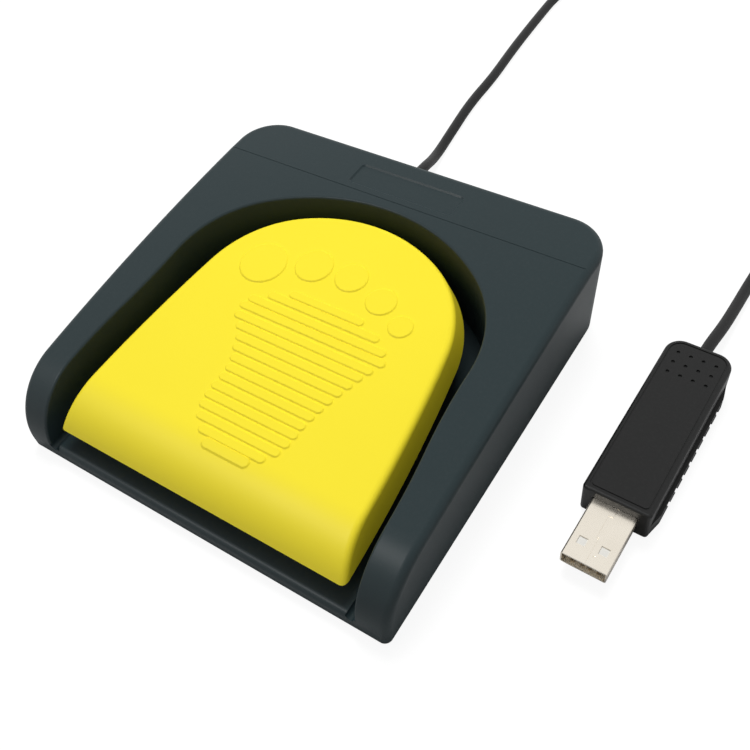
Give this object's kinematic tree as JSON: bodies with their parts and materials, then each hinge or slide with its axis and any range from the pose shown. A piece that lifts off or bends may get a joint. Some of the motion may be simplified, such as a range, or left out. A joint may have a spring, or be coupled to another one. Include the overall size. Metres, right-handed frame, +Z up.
{
  "type": "usb foot pedal switch",
  "caption": "Foot pedal switch: a wide pedal with a raised footprint rocks in a sloping base and works a snap switch, with a long lead that ends in a USB plug.",
  "frame": {"origin": "on the floor under the middle of the base's width and depth, level with the bottom of the rubber feet", "axes": "+X to the right as the foot sees it, +Y from the heel end to the side where the lead leaves, +Z up"},
  "size_m": [0.1747, 0.3173, 0.0316],
  "materials": {
    "slate_plastic": "fine satin grain",
    "yellow_plastic": "satin",
    "black_plastic": "satin",
    "black_rubber": "soft",
    "cord_jacket": "satin",
    "spring_steel": "drawn wire",
    "screw_steel": "zinc plated",
    "plug_steel": "nickel plated",
    "contact_brass": "gold plated",
    "board_green": "solder mask",
    "chip_black": "moulded",
    "crystal_can": "drawn can",
    "part_ceramic": "fired",
    "switch_black": "moulded",
    "button_red": "moulded",
    "tongue_white": "moulded",
    "wire_red": "insulation",
    "wire_black": "insulation"
  },
  "bodies": {
    "base": {"top_housing": "slate_plastic", "bottom_cover": "slate_plastic", "rubber_feet": "black_rubber", "cover_screws": "screw_steel", "hinge_rod": "spring_steel", "return_spring_left": "spring_steel", "return_spring_right": "spring_steel", "stop_pads": "black_rubber", "switch_board": "board_green", "board_screws": "screw_steel", "switch_case": "switch_black", "switch_base": "switch_black", "switch_blade": "contact_brass", "switch_terminals": "contact_brass", "wire_red": "wire_red", "wire_black": "wire_black", "cable_clamp": "black_plastic", "clamp_screws": "screw_steel", "strain_relief": "cord_jacket", "inner_cable": "cord_jacket", "cord_from_base": "cord_jacket", "cord_coil": "cord_jacket", "cord_to_plug": "cord_jacket", "plug_upper_shell": "black_plastic", "plug_lower_shell": "black_plastic", "plug_board": "board_green", "controller_chip": "chip_black", "clock_crystal": "crystal_can", "board_parts": "part_ceramic", "usb_shell": "plug_steel", "usb_tongue": "tongue_white", "usb_contacts": "contact_brass", "plug_inner_cable": "cord_jacket", "crimp_ring": "plug_steel", "plug_wire_red": "wire_red", "plug_wire_black": "wire_black"},
    "pedal": {"pedal": "yellow_plastic"},
    "lever": {"switch_lever": "plug_steel"},
    "button": {"switch_button": "button_red"}
  },
  "joints": [
    {"name": "pedal_hinge", "type": "hinge", "parent": "base", "child": "pedal", "pos_m": [0, -0.0468, 0.011], "axis": [-1, 0, 0], "range_deg": [0, 3.2], "stiffness_Nm_per_rad": 5.5, "springref_deg": -2.01, "deforming": ["return_spring_left", "return_spring_right"]},
    {"name": "lever_hinge", "type": "hinge", "parent": "base", "child": "lever", "pos_m": [0, -0.0238, 0.0184], "axis": [-1, 0, 0], "range_deg": [0, 9.95]},
    {"name": "button_slide", "type": "slide", "parent": "base", "child": "button", "axis": [0, 0, -1], "range_m": [0, 0.00062], "deforming": ["switch_blade"]}
  ],
  "couplings": [
    {"joint": "lever_hinge", "follows": "pedal_hinge", "ratio": 3.0909},
    {"joint": "button_slide", "follows": "pedal_hinge", "m_per_rad": 0.010818}
  ]
}
